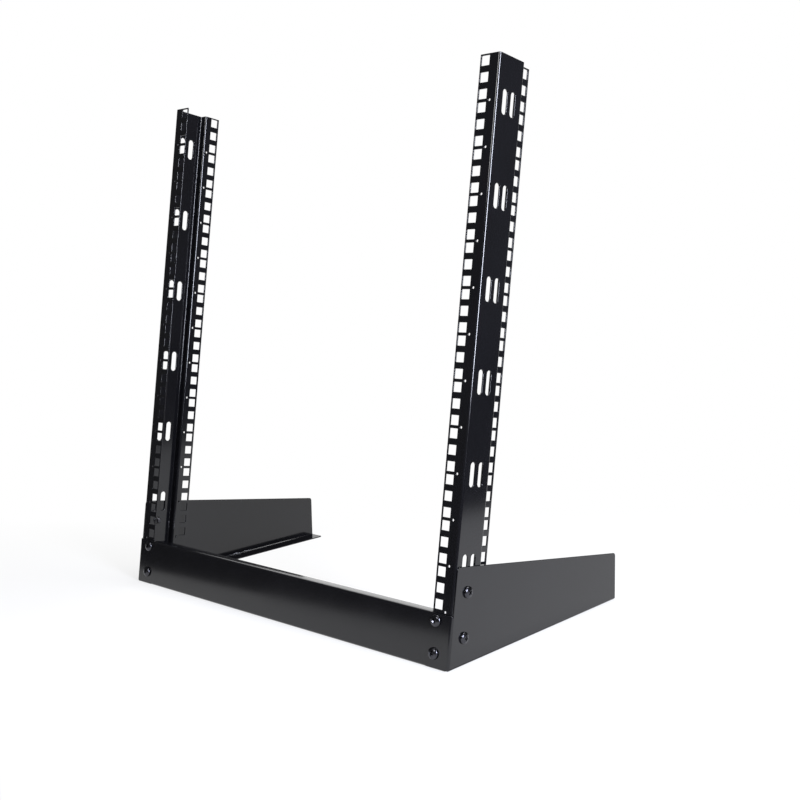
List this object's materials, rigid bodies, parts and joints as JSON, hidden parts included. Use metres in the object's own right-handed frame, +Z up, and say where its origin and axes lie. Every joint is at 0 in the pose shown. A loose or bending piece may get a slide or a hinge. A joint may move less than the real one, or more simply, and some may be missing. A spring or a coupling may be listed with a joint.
{
  "type": "two post open frame rack",
  "caption": "Desktop two-post open frame rack with folded perforated uprights leaning back over two foot plates, tied by a folded front beam.",
  "frame": {"origin": "middle of the rack's footprint, on the floor", "axes": "+Z up, +X to the right seen from the front, front towards -Y; the posts lean back towards +Y"},
  "size_m": [0.5102, 0.3038, 0.5819],
  "materials": {
    "powder_coat": "satin black powder coat",
    "zinc_screw": "black zinc"
  },
  "bodies": {
    "root": {"beam_screw_left_lower": "zinc_screw", "beam_screw_left_upper": "zinc_screw", "beam_screw_right_lower": "zinc_screw", "beam_screw_right_upper": "zinc_screw", "front_beam": "powder_coat", "left_post": "powder_coat", "left_side_plate": "powder_coat", "right_post": "powder_coat", "right_side_plate": "powder_coat", "side_screw_left_lower": "zinc_screw", "side_screw_left_upper": "zinc_screw", "side_screw_right_lower": "zinc_screw", "side_screw_right_upper": "zinc_screw"}
  },
  "joints": []
}
